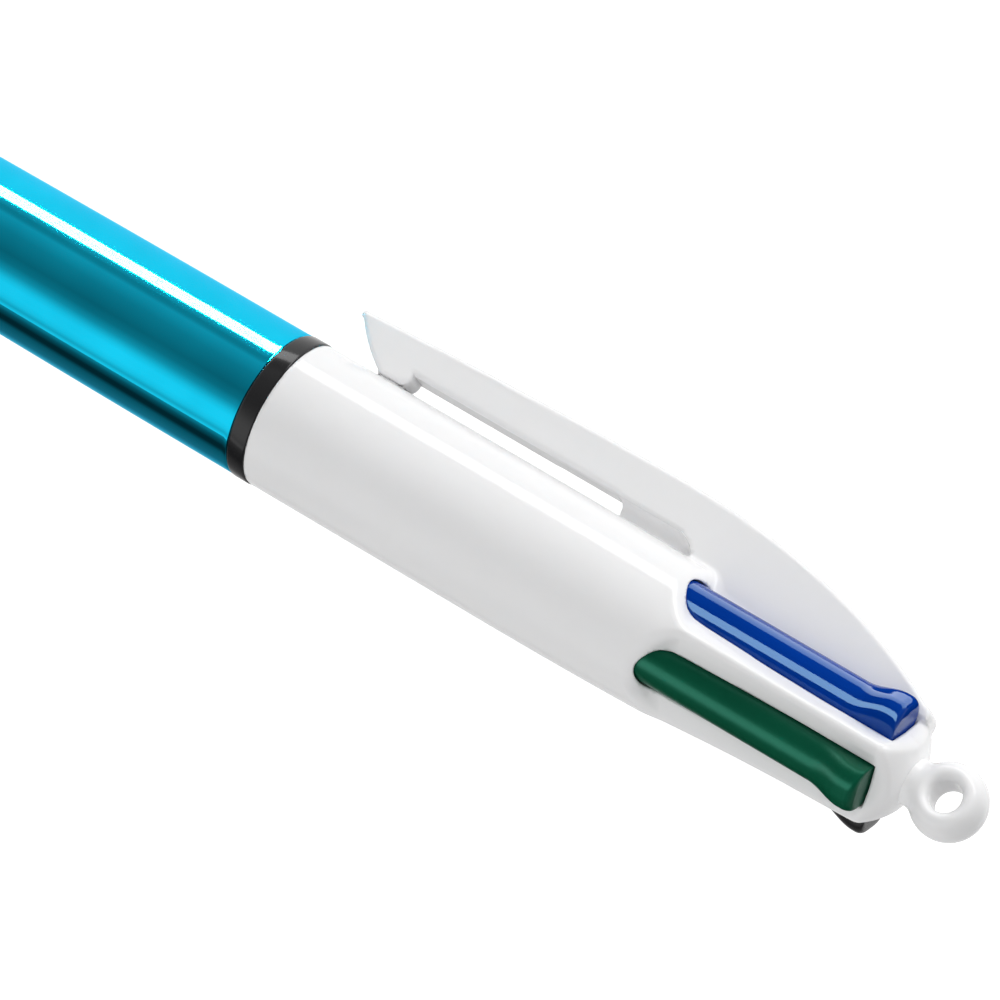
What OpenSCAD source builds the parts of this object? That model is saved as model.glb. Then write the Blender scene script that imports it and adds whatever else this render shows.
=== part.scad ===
// Four-colour pen: a screwed-on lower barrel, a moulded upper body with its clip,
// four thumb sliders that each push one refill against one spring, and a lanyard loop.
// The pen stands on its nose: +Z runs from the nose to the loop, the clip is on -X.

/* [Barrel] */
// Outer diameter where the barrel meets the black ring
barrel_d = 12; // [11.8:0.1:12.2]
// Length of the lower barrel
barrel_l = 82.4; // [81:0.1:84]
// Outer diameter of the nose's end
nose_d = 5; // [4.8:0.1:5.4]
// Diameter of the hole that the writing points come out of
nose_hole_d = 3.8; // [3.8:0.05:4.1]
// Length of the tapered nose
nose_l = 24; // [22:0.5:28]
// Outer diameter at the end of the nose taper
grip_d = 11; // [10.8:0.1:11.4]
// Length of the screw joint between barrel and body
screw_l = 10; // [9:0.5:11]

/* [Ring] */
// Width of the black ring
ring_l = 1.6; // [1.4:0.1:2]
// How far the ring stands proud of the barrel
ring_proud = 0.05; // [0:0.01:0.1]

/* [Body] */
// Length of the upper body from the ring to the top of its domed end
body_l = 57.2; // [57:0.1:57.6]
// Wall thickness of the shell
wall = 0.8; // [0.7:0.05:0.9]
// Width of a slider slot
slot_w = 3.8; // [3.7:0.05:3.9]
// Distance from the ring to the round mouth of a slot
slot_start = 35.7; // [35:0.1:37]
// Distance from the slots' end to the top of the domed end
end_wall = 2.1; // [2:0.1:2.4]
// Distance from the axis to the flat that is hollowed out around a slider
flat_rho = 3.6; // [3.5:0.05:3.7]

/* [Clip] */
// Thickness of the clip
clip_t = 3; // [2.6:0.1:3.2]
// Greatest distance of the clip's back from the pen's axis
clip_reach = 10.65; // [10.4:0.05:11]
// Gap between the clip's arm and the body
clip_gap = 1.15; // [1:0.05:1.3]
// Clearance between the clip's foot and the body
foot_gap = 0.05; // [0.05:0.01:0.2]

/* [Sliders] */
// Width of a slider rod, which slides in its slot
rod_w = 3.64; // [3.5:0.02:3.66]
// Distance of a rod's centre from the pen's axis
rod_rho = 3.55; // [3.5:0.01:3.58]
// Distance of a thumb tab's crown from the pen's axis
tab_rho = 5.95; // [5.8:0.05:6.1]
// Length of a slider
slider_l = 34; // [33:0.1:34.5]
// How far a slider is pushed to bring its point out
travel = 8.8; // [8.5:0.1:9]

/* [Refills] */
// Outer diameter of the refill tube
tube_d = 2.1; // [2:0.05:2.1]
// Bore of the refill tube
tube_bore_d = 1.3; // [1.2:0.05:1.4]
// Distance from the nose's end to a retracted point
point_depth = 6; // [5.8:0.1:6.5]
// Distance of a writing ball from the pen's axis
tip_rho = 1.22; // [1.2:0.01:1.26]
// Distance of a refill's upper end from the pen's axis
plug_rho = 3.4; // [3.3:0.02:3.44]
// Length of the metal point that stands out of the tube
point_l = 14; // [13:0.5:15]
// Diameter of the writing ball
ball_d = 1; // [0.7:0.1:1]

/* [Springs] */
// Diameter of the spring wire
wire_d = 0.35; // [0.3:0.01:0.36]
// Mean diameter of the coil
coil_d = 2.72; // [2.7:0.01:2.8]
// Number of turns
turns = 9; // [7:1:10]

/* [Loop] */
// Diameter of the ball that the loop hole goes through
loop_d = 6; // [5.8:0.1:6.2]
// Diameter of the loop hole
loop_hole_d = 2.5; // [2.3:0.1:2.7]

/* [Hidden] */
$fn = 96;

// Directions of the four sliders around the axis; the clip points at 180
BLUE = 225;
GREEN = 315;
BLACK = 45;
RED = 135;
SLIDER_ANGLES = [BLUE, GREEN, BLACK, RED];

run_gap = 0.05;     // running clearance on a radius
fit_gap = 0.1;      // clearance between pieces that are pushed together
past = 10;          // how far a cut runs on past the surface it opens
barrel_r = barrel_d / 2;
barrel_bore_r = 4.45;   // inside of the barrel where the nose begins
barrel_seat_r = 4.75;   // inside of the barrel under the screw joint
nose_lip = 1.2;         // length of the straight hole in the nose
nose_edge = 0.25;       // rounding of the nose's end
ring_z = barrel_l;
body_z = barrel_l + ring_l;
body_end = body_z + body_l;
slot_end = body_end - end_wall;
mouth_z = body_z + slot_start + slot_w / 2;
dome_r = 6.6;       // radius of the body's domed end

spigot_r = 5.2;     // outside of the body's threaded spigot
spigot_bore_r = 4.3;
spigot_z = barrel_l - screw_l + 0.6;    // it stops short of the barrel's inner step
bore_r = barrel_r - wall;
bore_mid_r = 3.9;       // the bore narrows to this just before the slots
bore_mid_z = mouth_z - 2;
bore_end_r = 3.2;
bore_end_z = slot_end - 1.5;
taper_z = body_z + 22;
taper_rate = 0.001;
hollow_z = mouth_z - 2.3;   // where the hollow around a slider begins
hollow_l = 14.2;            // length over which it deepens to the flat
hollow_rise = 0.6;
ramp_l = 1.6;               // the steep arch-shaped start of the hollow
ramp_rise = 1.75;
hollow_end_slope = 0.15;    // the bevel behind a slider, on the end wall

stem_r = 1.55;      // the loop's stem, in the body's end wall
stem_l = 3.5;       // how far the stem reaches in from the end wall's inner face
barb_r = 1.85;      // the barb that the stem snaps in with
barb_l = 1.5;
collar_r = 1.9;     // the neck under the ball, in a flat seat in the dome
collar_l = 1.4;
collar_z = body_end - 0.35;
loop_sink = 0.1;    // from the dome's top down to the ball's lowest point
loop_z = body_end - loop_sink + loop_d / 2;

shoulder_t = 1;     // the step inside the body that the guide core rests on
core_z = body_z + shoulder_t;
core_floor = 2;     // the spring seat
core_disc = 5;      // length of the guide core's round part
core_fin_t = 0.8;
core_top = body_z + 29;
core_pass_r = 1.25;     // the hole that a refill passes through
core_pass_rho = 3.05;   // and its distance from the axis
core_seat_r = 1.75;     // the pocket that a spring stands in
spring_z = core_z + core_floor;

slider_top = slot_end - fit_gap;
slider_z = slider_top - slider_l;
rod_flat = 2.2;     // a rod is cut flat this far from the axis
rod_top = rod_rho + rod_w / 2;
tab_l = 3.4;        // length of the thumb tab's rise and crown
crown_l = 0.9;      // length of the crown alone
tab_round = 0.6;    // rounding of the tab's back corner
cam_t = 1.2;        // the latch fin on a rod's inner side
cam_l = 7;
cam_drop = 15;      // from the slider's top to the fin's lower end
cam_rho = 0.75;
peg_r = tube_bore_d / 2 - run_gap;
peg_l = 4;

tip_z = point_depth;
point_neck_r = ball_d / 2 + 0.05;   // the narrow end around the ball
point_neck_l = 4.2;
point_mid_r = 0.72;                 // where the cone turns
point_mid_l = 6.4;
point_body_r = 1;
point_body_l = 10;
point_shank_l = 5;                  // the part pushed into the tube
ink_bore_r = 0.25;
lean = asin((plug_rho - tip_rho) / (slider_z - tip_z));
refill_l = (slider_z - tip_z) / cos(lean);

WHITE = [0.93, 0.93, 0.93];
CYAN = [0.02, 0.68, 0.85];
STEEL = [0.72, 0.72, 0.7];
BRASS = [0.78, 0.66, 0.38];
INK_BLUE = [0.02, 0.18, 0.6];
INK_GREEN = [0, 0.35, 0.22];
INK_BLACK = [0.08, 0.08, 0.08];
INK_RED = [0.8, 0.06, 0.1];

// Outer radius of the body: straight, then bending in towards the loop
function body_r(z) = barrel_r - (z > taper_z ? taper_rate * pow(z - taper_z, 2) : 0);

// Distance from the axis to the floor of the hollow around a slider, at height z
function hollow_rho(z) =
    let (deep = max(0, 1 - (z - hollow_z) / hollow_l), ramp = max(0, 1 - (z - hollow_z) / ramp_l))
    flat_rho + hollow_rise * pow(deep, 1.5) + ramp_rise * pow(ramp, 2)
    - hollow_end_slope * max(0, z - slot_end);

// Outer radius of the barrel: a convex nose, then a slight widening up to the ring
function barrel_out(z) = z < nose_l
    ? nose_d / 2 + (grip_d - nose_d) / 2 * pow(sin(90 * z / nose_l), 0.8)
    : grip_d / 2 + (barrel_d - grip_d) / 2 * sin(90 * (z - nose_l) / (barrel_l - nose_l));

// Distance of the clip's back from the axis, at height z: a slow rise from the tip to
// the apex, then a quarter of an ellipse down to the body's end
clip_apex_z = body_z + 30;
clip_tip_z = body_z + 1.6;
clip_tip_drop = 0.95;
clip_end_drop = 15.9;
clip_end_l = 33;
function clip_back(z) = z < clip_apex_z
    ? clip_reach - clip_tip_drop * pow((clip_apex_z - z) / (clip_apex_z - clip_tip_z), 1.6)
    : clip_reach - clip_end_drop * (1 - sqrt(1 - pow((z - clip_apex_z) / clip_end_l, 2)));

function steps(from, to, count) = [for (i = [0:count]) from + (to - from) * i / count];

function arc(cx, cy, r, from, to, count = 12) =
    [for (a = steps(from, to, count)) [cx + r * cos(a), cy + r * sin(a)]];

module towards(angle) {
    rotate([0, 0, angle]) children();
}

// Everything that lies along one refill: z = 0 is the writing ball's tip
module along_refill(angle) {
    towards(angle) translate([tip_rho, 0, tip_z]) rotate([0, lean, 0]) children();
}

module lower_barrel_outline() {
    bore = spigot_r + run_gap;
    seat_z = barrel_l - screw_l;
    polygon(concat(
        [[nose_hole_d / 2, 0]],
        arc(nose_d / 2 - nose_edge, nose_edge, nose_edge, -90, -20, 4),
        [for (z = steps(2 * nose_edge, nose_l, 20)) [barrel_out(z), z]],
        [for (z = steps(nose_l + 6, barrel_l, 10)) [barrel_out(z), z]],
        [[bore, barrel_l], [bore, seat_z], [barrel_seat_r, seat_z]],
        [[barrel_bore_r, nose_l], [nose_hole_d / 2, nose_lip]]
    ));
}

module lower_barrel() {
    color(CYAN) rotate_extrude() lower_barrel_outline();
}

module trim_ring() {
    inner = spigot_r + run_gap;
    color("black") translate([0, 0, ring_z]) rotate_extrude()
        translate([inner, 0]) square([barrel_r + ring_proud - inner, ring_l]);
}

// The body's outside, filled
module body_outline() {
    dome_z = body_end - dome_r;
    edge_angle = acos(body_r(slot_end) / dome_r);
    edge_z = dome_z + dome_r * sin(edge_angle);
    polygon(concat(
        [[0, body_z], [barrel_r, body_z]],
        [for (z = steps(taper_z, edge_z, 14)) [body_r(z), z]],
        arc(0, dome_z, dome_r, edge_angle + 4, 90, 10)
    ));
}

// The hollow around a slider, cut straight across the body
module slider_hollow() {
    start_z = hollow_z - 0.5;
    end_z = body_end + 1;
    rotate([90, 0, 0]) linear_extrude(2 * past, center = true) polygon(concat(
        [for (z = steps(start_z, hollow_z + ramp_l, 8)) [hollow_rho(z), z]],
        [for (z = steps(hollow_z + ramp_l + 1.5, slot_end, 8)) [hollow_rho(z), z]],
        [[hollow_rho(end_z), end_z], [past, end_z], [past, start_z]]
    ));
}

module slot_cut() {
    translate([0, 0, mouth_z]) rotate([0, 90, 0]) cylinder(d = slot_w, h = past);
    translate([0, -slot_w / 2, mouth_z]) cube([past, slot_w, slot_end - mouth_z]);
    // the channel that the rod runs in, under the shell, with some room at its lower end
    channel_z = slider_z - travel - 0.5;
    translate([rod_rho, 0, channel_z]) cylinder(d = slot_w, h = slot_end - channel_z);
}

// The clip's side view: x is the distance from the axis, y is the height
module clip_outline() {
    foot_r = 1;
    foot_x = barrel_r + foot_gap + foot_r;
    foot_z = body_z + 5.1;
    arm_x = barrel_r + clip_gap;
    arm_z = body_z + 7.4;
    gap_end_z = body_z + 26.5;
    gap_round = 0.9;
    corner_r = 0.4;
    tip_x = clip_back(body_z + 1) - corner_r;
    root_end_z = slot_end - 0.5;
    root_depth = 0.4;
    polygon(concat(
        arc(tip_x, body_z + 1 + corner_r / 2, corner_r, 200, 300, 6),
        [for (z = steps(clip_tip_z, root_end_z, 30)) [clip_back(z), z]],
        [[body_r(slot_end) - root_depth, root_end_z], [barrel_r - wall / 2, gap_end_z + 0.5]],
        arc(arm_x - gap_round, gap_end_z - gap_round, gap_round, 90, 0, 6),
        [[arm_x, arm_z]],
        arc(foot_x, foot_z, foot_r, 130, 240, 10)
    ));
}

module clip() {
    mirror([1, 0, 0]) rotate([90, 0, 0]) linear_extrude(clip_t, center = true) clip_outline();
}

module body_bore() {
    polygon([
        [0, core_z], [bore_r, core_z], [bore_r, core_top],
        [bore_mid_r, bore_mid_z], [bore_end_r, bore_end_z], [0, bore_end_z],
    ]);
}

module upper_body() {
    spigot_hole_l = core_z - spigot_z + 2;
    color(WHITE) {
        difference() {
            union() {
                difference() {
                    rotate_extrude() body_outline();
                    for (a = SLIDER_ANGLES) towards(a) slider_hollow();
                }
                clip();
                translate([0, 0, spigot_z]) cylinder(r = spigot_r, h = core_z - spigot_z);
            }
            rotate_extrude() body_bore();
            translate([0, 0, spigot_z - 1]) cylinder(r = spigot_bore_r, h = spigot_hole_l);
            for (a = SLIDER_ANGLES) towards(a) slot_cut();
            translate([0, 0, bore_end_z - 1]) cylinder(r = stem_r + run_gap, h = past);
            translate([0, 0, collar_z]) cylinder(r = collar_r + run_gap, h = past);
        }
    }
}

module end_plug() {
    stem_z = slot_end - stem_l;
    barb_z = slot_end - barb_l - fit_gap;
    color(WHITE) difference() {
        union() {
            translate([0, 0, stem_z]) cylinder(r = stem_r, h = loop_z - stem_z);
            translate([0, 0, barb_z]) cylinder(r1 = stem_r, r2 = barb_r, h = barb_l);
            translate([0, 0, collar_z]) cylinder(r = collar_r, h = collar_l);
            translate([0, 0, loop_z]) sphere(d = loop_d);
        }
        translate([0, 0, loop_z]) rotate([90, 0, 0]) rotate_extrude() loop_hole_outline();
    }
}

// Half of the loop hole's section: a straight wall with a rounded rim at each end
module loop_hole_outline() {
    hole_r = loop_hole_d / 2;
    straight = 0.7;
    curve_r = 1.2;
    rim_r = hole_r + curve_r;
    polygon(concat(
        [[0, loop_d], [0, -loop_d], [rim_r, -loop_d]],
        arc(rim_r, -straight, curve_r, 270, 180, 8),
        arc(rim_r, straight, curve_r, 180, 90, 8),
        [[rim_r, loop_d]]
    ));
}

module guide_core() {
    outer = bore_r - fit_gap;
    color(WHITE) {
        difference() {
            translate([0, 0, core_z]) cylinder(r = outer, h = core_disc);
            for (a = SLIDER_ANGLES) towards(a) translate([core_pass_rho, 0, 0]) {
                translate([0, 0, core_z - 1]) cylinder(r = core_pass_r, h = core_disc);
                translate([0, 0, spring_z]) cylinder(r = core_seat_r, h = core_disc);
            }
        }
        for (a = [0, 90]) rotate([0, 0, a])
            translate([-outer, -core_fin_t / 2, core_z + core_disc])
                cube([2 * outer, core_fin_t, core_top - core_z - core_disc]);
    }
}

// A rod's section: a circle cut flat on the side that faces the axis
module rod_section() {
    intersection() {
        translate([rod_rho, 0]) circle(d = rod_w);
        translate([rod_flat, -rod_w]) square(2 * rod_w);
    }
}

// The thumb tab from the side: a hollow rise, a crown and a rounded back corner
module tab_outline() {
    rise = tab_rho - rod_top;
    rise_z = slider_top - tab_l;
    crown_z = slider_top - crown_l;
    polygon(concat(
        [for (t = steps(0, 1, 8))
            [rod_top + rise * (1 - cos(180 * t)) / 2, rise_z + (crown_z - rise_z) * t]],
        arc(tab_rho - tab_round, slider_top - tab_round, tab_round, 0, 90, 6),
        [[rod_rho, slider_top], [rod_rho, rise_z]]
    ));
}

module slider(angle, paint) {
    cam_z = slider_top - cam_drop;
    color(paint) towards(angle) {
        translate([0, 0, slider_z]) linear_extrude(slider_l) rod_section();
        rotate([90, 0, 0]) linear_extrude(rod_w, center = true) tab_outline();
        translate([cam_rho, -cam_t / 2, cam_z]) cube([rod_rho - cam_rho, cam_t, cam_l]);
    }
    // the peg that the refill tube is pushed on, rooted in the rod
    peg_root = 0.5;
    color(paint) along_refill(angle)
        translate([0, 0, refill_l - peg_l]) cylinder(r = peg_r, h = peg_l + peg_root);
}

// One coil spring, swept along a helix around the refill
module spring(angle) {
    end_gap = 0.25;
    seat = (spring_z - tip_z) / cos(lean) + end_gap;
    top = refill_l - end_gap;
    mean_r = coil_d / 2;
    wire_r = wire_d / 2;
    sides = 6;
    per_turn = 14;
    count = turns * per_turn;
    first = seat + wire_r;
    rise = (top - seat - wire_d) / count;
    rings = [for (i = [0:count]) let (a = 360 * i / per_turn, z = first + rise * i)
        [for (k = [0:sides - 1]) let (b = 360 * k / sides, r = mean_r + wire_r * cos(b))
            [r * cos(a), r * sin(a), z + wire_r * sin(b)]]];
    walls = [for (i = [0:count - 1]) for (k = [0:sides - 1]) let (n = (k + 1) % sides)
        [i * sides + k, (i + 1) * sides + k, (i + 1) * sides + n, i * sides + n]];
    start_cap = [for (k = [0:sides - 1]) k];
    end_cap = [for (k = [sides - 1:-1:0]) count * sides + k];
    color(STEEL) along_refill(angle)
        polyhedron([for (r = rings) for (p = r) p], concat([start_cap], [end_cap], walls));
}

module refill_tube(angle, paint) {
    color(paint) along_refill(angle) difference() {
        translate([0, 0, point_l]) cylinder(d = tube_d, h = refill_l - point_l - fit_gap);
        translate([0, 0, point_l - 1]) cylinder(d = tube_bore_d, h = refill_l);
    }
}

module refill_point(angle) {
    shank_r = tube_bore_d / 2;
    ball_gap_r = ball_d / 2 + 0.02;
    rim_l = 0.45;
    flange_l = 1;
    shank_end = point_l + point_shank_l;
    color(BRASS) along_refill(angle) difference() {
        rotate_extrude() polygon([
            [0, rim_l], [point_neck_r - 0.1, rim_l],
            [point_neck_r, 2 * rim_l], [point_neck_r, point_neck_l],
            [point_mid_r, point_mid_l], [point_body_r, point_body_l],
            [point_body_r, point_l - flange_l], [tube_d / 2, point_l - flange_l],
            [tube_d / 2, point_l], [shank_r, point_l], [shank_r, shank_end], [0, shank_end],
        ]);
        translate([0, 0, ball_d / 2]) sphere(r = ball_gap_r);
        cylinder(r = ink_bore_r, h = shank_end + 1);
    }
}

module writing_ball(angle) {
    color(STEEL) along_refill(angle) translate([0, 0, ball_d / 2]) sphere(d = ball_d);
}

module slider_blue() { slider(BLUE, INK_BLUE); }
module slider_green() { slider(GREEN, INK_GREEN); }
module slider_black() { slider(BLACK, INK_BLACK); }
module slider_red() { slider(RED, INK_RED); }
module spring_blue() { spring(BLUE); }
module spring_green() { spring(GREEN); }
module spring_black() { spring(BLACK); }
module spring_red() { spring(RED); }
module refill_tube_blue() { refill_tube(BLUE, INK_BLUE); }
module refill_tube_green() { refill_tube(GREEN, INK_GREEN); }
module refill_tube_black() { refill_tube(BLACK, INK_BLACK); }
module refill_tube_red() { refill_tube(RED, INK_RED); }
module refill_point_blue() { refill_point(BLUE); }
module refill_point_green() { refill_point(GREEN); }
module refill_point_black() { refill_point(BLACK); }
module refill_point_red() { refill_point(RED); }
module writing_ball_blue() { writing_ball(BLUE); }
module writing_ball_green() { writing_ball(GREEN); }
module writing_ball_black() { writing_ball(BLACK); }
module writing_ball_red() { writing_ball(RED); }

lower_barrel();
trim_ring();
upper_body();
end_plug();
guide_core();
slider_blue();
slider_green();
slider_black();
slider_red();
spring_blue();
spring_green();
spring_black();
spring_red();
refill_tube_blue();
refill_tube_green();
refill_tube_black();
refill_tube_red();
refill_point_blue();
refill_point_green();
refill_point_black();
refill_point_red();
writing_ball_blue();
writing_ball_green();
writing_ball_black();
writing_ball_red();
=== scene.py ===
"""Looks of the four-colour slider pen.

Every visible piece is meshed here from formulas in millimetres, in the frame of the CAD part:
+Z runs from the nose to the loop, the clip points at -X. Moulded pieces are signed distance
functions turned into a mesh, turned pieces are lathed, and the springs are swept.
"""

import math

import bpy
import numpy as np
from mathutils import Matrix, Vector


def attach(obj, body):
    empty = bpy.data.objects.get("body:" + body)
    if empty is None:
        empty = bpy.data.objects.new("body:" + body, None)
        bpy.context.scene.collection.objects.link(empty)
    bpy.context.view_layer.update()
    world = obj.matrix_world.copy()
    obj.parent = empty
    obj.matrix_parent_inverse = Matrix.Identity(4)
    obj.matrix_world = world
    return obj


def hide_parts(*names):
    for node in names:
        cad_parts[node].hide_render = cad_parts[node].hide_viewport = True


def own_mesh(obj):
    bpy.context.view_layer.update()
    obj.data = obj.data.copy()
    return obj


MM = 0.001
COLOURS = {"blue": 225, "green": 315, "black": 45, "red": 135}

# Sizes in millimetres; Z is a height above the nose's end and RHO a distance from the axis
BARREL_R = 6.0
BARREL_TOP = 82.4
BARREL_BORE_R = 5.25
NOSE_Z = 24.0            # where the nose's curve ends
BODY_BOTTOM = 84.0
BODY_TOP = 141.2
DOME_R = 6.6
COLLAR_Z = 140.85        # seat of the loop's collar
COLLAR_R = 1.9
STEM_R = 1.55            # the end plug's stem, inside the body
SLOT_TOP = 139.1
SLOT_HALF = 1.9
MOUTH_Z = 121.6          # centre of a slot's round end
WALL_Z = 119.5           # where the wall of the hollow around a slider is at WALL_RHO
ROD_R = 1.82
CHANNEL_RHO = 3.55
ROD_RHO = 3.48
SLIDER_BOTTOM = 105.0
SLIDER_TOP = 139.0
TRAVEL = 8.8
LOOP_Z = 144.1
LOOP_R = 3.0
LOOP_HOLE_R = 1.25
TIP_Z = 6.0              # tip of a retracted writing ball
TIP_RHO = 1.22
PLUG_RHO = 3.4           # upper end of a refill
TUBE_R = 1.05
LEAN = math.asin((PLUG_RHO - TIP_RHO) / (SLIDER_BOTTOM - TIP_Z))
REFILL_L = (SLIDER_BOTTOM - TIP_Z) / math.cos(LEAN)
SPRING_SEAT_Z = 87.0


# ---------------------------------------------------------------- distance functions
def meet(a, b, r=0.0):
    """Where both shapes are, with the edge rounded by r."""
    corner = np.hypot(np.maximum(r + a, 0), np.maximum(r + b, 0))
    return np.minimum(-r, np.maximum(a, b)) + corner


def join(a, b, r=0.0):
    """Both shapes together, with a fillet of r in the crease."""
    return -meet(-a, -b, r)


def cut(a, b, r=0.0):
    """The first shape without the second, with the edge rounded by r."""
    return meet(a, -b, r)


def disc(x, y, r):
    return np.hypot(x, y) - r


def between(z, low, high):
    return np.maximum(low - z, z - high)


def polygon(points, x, y):
    """Signed distance to a closed outline."""
    corners = np.array(points, float)
    best = np.full(x.shape, np.inf)
    inside = np.zeros(x.shape, bool)
    for (ax, ay), (bx, by) in zip(corners, np.roll(corners, -1, axis=0)):
        ex, ey = bx - ax, by - ay
        px, py = x - ax, y - ay
        t = np.clip((px * ex + py * ey) / (ex * ex + ey * ey), 0, 1)
        best = np.minimum(best, (px - t * ex) ** 2 + (py - t * ey) ** 2)
        if ay != by:
            crosses = (ay > y) != (by > y)
            inside ^= crosses & (px < ex * py / ey)
    distance = np.sqrt(best)
    return np.where(inside, -distance, distance)


def turned(x, y, angle):
    """Coordinates along and across a direction around the pen's axis."""
    a = math.radians(angle)
    return x * math.cos(a) + y * math.sin(a), y * math.cos(a) - x * math.sin(a)


def arc(cx, cy, r, start, end, count):
    angles = np.radians(np.linspace(start, end, count))
    return [(cx + r * math.cos(a), cy + r * math.sin(a)) for a in angles]


# ---------------------------------------------------------------- meshing
def slope(shape, points, step=0.01):
    """The distance function's gradient."""
    result = np.empty_like(points)
    for axis in range(3):
        ahead, behind = points.copy(), points.copy()
        ahead[:, axis] += step
        behind[:, axis] -= step
        result[:, axis] = (shape(*ahead.T) - shape(*behind.T)) / (2 * step)
    return result


def edge_crossings(shape, d, axes, axis):
    """Where the surface crosses the grid lines along one axis: cell index, point, normal."""
    low = np.take(d, range(d.shape[axis] - 1), axis)
    high = np.take(d, range(1, d.shape[axis]), axis)
    at = np.argwhere((low < 0) != (high < 0))
    first, second = low[tuple(at.T)], high[tuple(at.T)]
    share = first / (first - second)
    points = np.stack([axes[n][at[:, n]] for n in range(3)], axis=1)
    points[:, axis] += share * np.diff(axes[axis])[at[:, axis]]
    normals = slope(shape, points)
    normals /= np.maximum(np.linalg.norm(normals, axis=1), 1e-9)[:, None]
    return at, points, normals


def cell_points(shape, d, axes, pull=0.08):
    """One vertex in every mixed cell, drawn to where the tangent planes of its edges meet."""
    cells = tuple(n - 1 for n in d.shape)
    owner, points, normals = [], [], []
    for axis in range(3):
        at, p, n = edge_crossings(shape, d, axes, axis)
        others = [m for m in range(3) if m != axis]
        for da in (0, 1):
            for db in (0, 1):
                cell = at.copy()
                cell[:, others[0]] -= da
                cell[:, others[1]] -= db
                inside = np.all((cell >= 0) & (cell < cells), axis=1)
                owner.append(np.ravel_multi_index(cell[inside].T, cells))
                points.append(p[inside])
                normals.append(n[inside])
    owner, points, normals = map(np.concatenate, (owner, points, normals))
    flat, group = np.unique(owner, return_inverse=True)

    def gather(values):
        return np.bincount(group, weights=values, minlength=len(flat))

    count = gather(np.ones(len(group)))
    mean = np.stack([gather(points[:, n]) for n in range(3)], axis=1) / count[:, None]
    offset = (normals * (points - mean[group])).sum(axis=1)
    system = np.empty((len(flat), 3, 3))
    target = np.stack([gather(normals[:, n] * offset) for n in range(3)], axis=1)
    for a in range(3):
        for b in range(3):
            system[:, a, b] = gather(normals[:, a] * normals[:, b]) + (a == b) * pull * count
    found = mean + np.linalg.solve(system, target[:, :, None])[:, :, 0]
    where = np.stack(np.unravel_index(flat, cells), axis=1)
    for n in range(3):
        low = axes[n][where[:, n]]
        high = axes[n][where[:, n] + 1]
        found[:, n] = np.clip(found[:, n], low, high)
    index = np.full(cells, -1)
    index[tuple(where.T)] = np.arange(len(flat))
    return found, index


def net_faces(d, index):
    """One quad around every grid edge that the surface crosses."""
    faces = []
    for axis in range(3):
        p, q = (axis + 1) % 3, (axis + 2) % 3
        low = np.take(d, range(d.shape[axis] - 1), axis) < 0
        high = np.take(d, range(1, d.shape[axis]), axis) < 0
        for inside_low in (True, False):
            at = np.argwhere((low == inside_low) & (high != inside_low))
            at = at[(at[:, p] > 0) & (at[:, q] > 0)]
            at = at[(at[:, p] < d.shape[p] - 1) & (at[:, q] < d.shape[q] - 1)]
            ring = []
            for dp, dq in ((0, 0), (1, 0), (1, 1), (0, 1)):
                cell = at.copy()
                cell[:, p] -= dp
                cell[:, q] -= dq
                ring.append(index[cell[:, 0], cell[:, 1], cell[:, 2]])
            quads = np.stack(ring, axis=1)
            faces.append(quads if inside_low else quads[:, ::-1])
    return np.concatenate(faces)


def moulded(shape, axes, settle=2):
    """A mesh of the surface where the distance function is zero, with its true normals."""
    grid = np.meshgrid(*axes, indexing="ij")
    d = shape(*grid)
    points, index = cell_points(shape, d, axes)
    faces = net_faces(d, index)
    reach = 0.4 * min(float(np.diff(a).min()) for a in axes)
    for _ in range(settle):
        g = slope(shape, points)
        size = np.maximum((g * g).sum(axis=1), 0.2)
        move = (shape(*points.T) / size)[:, None] * g
        length = np.linalg.norm(move, axis=1)[:, None]
        points -= move * np.minimum(1, reach / np.maximum(length, 1e-9))
    normals = slope(shape, points, 0.03)
    normals /= np.maximum(np.linalg.norm(normals, axis=1), 1e-9)[:, None]
    return points, faces, normals


def fine_axis(*parts):
    """Grid lines from (start, end, step) stretches that follow one another."""
    lines = []
    for start, end, step in parts:
        count = max(1, round((end - start) / step))
        lines.append(np.linspace(start, end, count, endpoint=False))
    lines.append([parts[-1][1]])
    return np.concatenate(lines)


def add_mesh(name, points, faces, normals=None, sharp=35):
    """Makes an object from points in millimetres."""
    mesh = bpy.data.meshes.new(name)
    mesh.from_pydata((np.asarray(points) * MM).tolist(), [], [list(f) for f in faces])
    mesh.validate()
    mesh.shade_smooth()
    if normals is None:
        mesh.set_sharp_from_angle(angle=math.radians(sharp))
    else:
        mesh.normals_split_custom_set_from_vertices(np.asarray(normals).tolist())
    thing = bpy.data.objects.new(name, mesh)
    bpy.context.scene.collection.objects.link(thing)
    return thing


def lathe(name, outline, sides, place=None):
    """Turns a closed outline of (radius, height) about the axis; place moves the points."""
    angles = np.arange(sides) * 2 * math.pi / sides
    points, rings = [], []
    for r, z in outline:
        if r < 1e-6:
            rings.append([len(points)] * sides)
            points.append((0, 0, z))
        else:
            rings.append(list(range(len(points), len(points) + sides)))
            points += [(r * math.cos(a), r * math.sin(a), z) for a in angles]
    faces = []
    for n, ring in enumerate(rings):
        following = rings[(n + 1) % len(rings)]
        for k in range(sides):
            m = (k + 1) % sides
            corners = [ring[k], ring[m], following[m], following[k]]
            face = list(dict.fromkeys(corners))
            if len(face) > 2:
                faces.append(face)
    points = np.array(points)
    return add_mesh(name, place(points) if place else points, faces)


def along_refill(angle):
    """Moves points from a refill's own axis, with the ball's tip at 0, to its place."""
    lean, a = LEAN, math.radians(angle)
    tilt = np.array(Matrix.Rotation(lean, 3, "Y"))
    turn = np.array(Matrix.Rotation(a, 3, "Z"))
    start = np.array([TIP_RHO, 0, TIP_Z])
    return lambda points: (np.asarray(points) @ tilt.T + start) @ turn.T


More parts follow.
